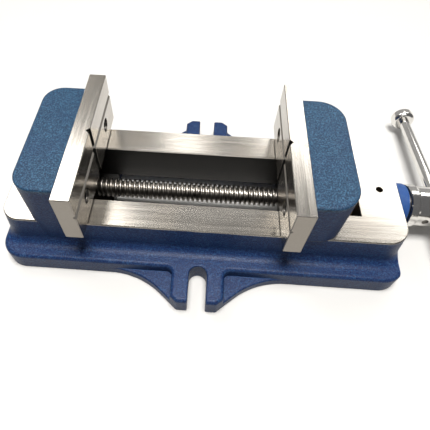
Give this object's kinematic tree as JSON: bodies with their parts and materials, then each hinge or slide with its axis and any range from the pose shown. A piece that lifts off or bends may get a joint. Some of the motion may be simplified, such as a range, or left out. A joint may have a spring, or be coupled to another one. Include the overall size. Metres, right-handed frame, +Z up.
{
  "type": "machine vise",
  "caption": "Low-profile machine vise with grooved jaw plates, open hold-down lugs and a lead screw turned by a sliding handle bar.",
  "frame": {"origin": "on the flat underside, on the centre line, straight below the fixed jaw's clamping face", "axes": "+X along the lead screw from the fixed jaw towards the handle, +Y across the jaws, +Z up"},
  "size_m": [0.29, 0.1712, 0.0717],
  "materials": {
    "hammertone_blue": "blue hammertone enamel on cast iron, with ground bare tops on the rails",
    "ground_steel": "surface ground",
    "screw_steel": "turned and oiled",
    "black_screw": "black oxide",
    "bronze": "machined bronze",
    "chrome": "polished plating"
  },
  "bodies": {
    "base": {"base_casting": "hammertone_blue", "fixed_jaw_plate": "ground_steel", "fixed_jaw_screw_1": "black_screw", "fixed_jaw_screw_2": "black_screw", "bridge_bush": "bronze", "tail_bush": "bronze", "thrust_washer": "screw_steel"},
    "moving_jaw": {"moving_jaw_casting": "hammertone_blue", "moving_jaw_plate": "ground_steel", "moving_jaw_screw_1": "black_screw", "moving_jaw_screw_2": "black_screw", "jaw_nut": "bronze", "nut_pin": "screw_steel", "keeper_plate": "ground_steel", "keeper_screw_1": "black_screw", "keeper_screw_2": "black_screw", "keeper_screw_3": "black_screw", "keeper_screw_4": "black_screw"},
    "spindle": {"lead_screw": "screw_steel", "screw_hub": "chrome", "hub_pin": "screw_steel", "thrust_collar": "screw_steel", "collar_pin": "screw_steel"},
    "handle": {"handle_bar": "chrome", "handle_knob_far": "chrome", "handle_knob_near": "chrome"}
  },
  "joints": [
    {"name": "screw_spin", "type": "hinge", "parent": "base", "child": "spindle", "pos_m": [0.19, 0, 0.0195], "axis": [1, 0, 0], "range_deg": [-12830, 850]},
    {"name": "jaw_slide", "type": "slide", "parent": "base", "child": "moving_jaw", "axis": [1, 0, 0], "range_m": [-0.1132, 0.0075]},
    {"name": "handle_slide", "type": "slide", "parent": "spindle", "child": "handle", "axis": [0, 0.9966, -0.0819], "range_m": [-0.0745, 0.0485]}
  ],
  "couplings": [
    {"joint": "jaw_slide", "follows": "screw_spin", "m_per_rad": 0.00050532}
  ]
}
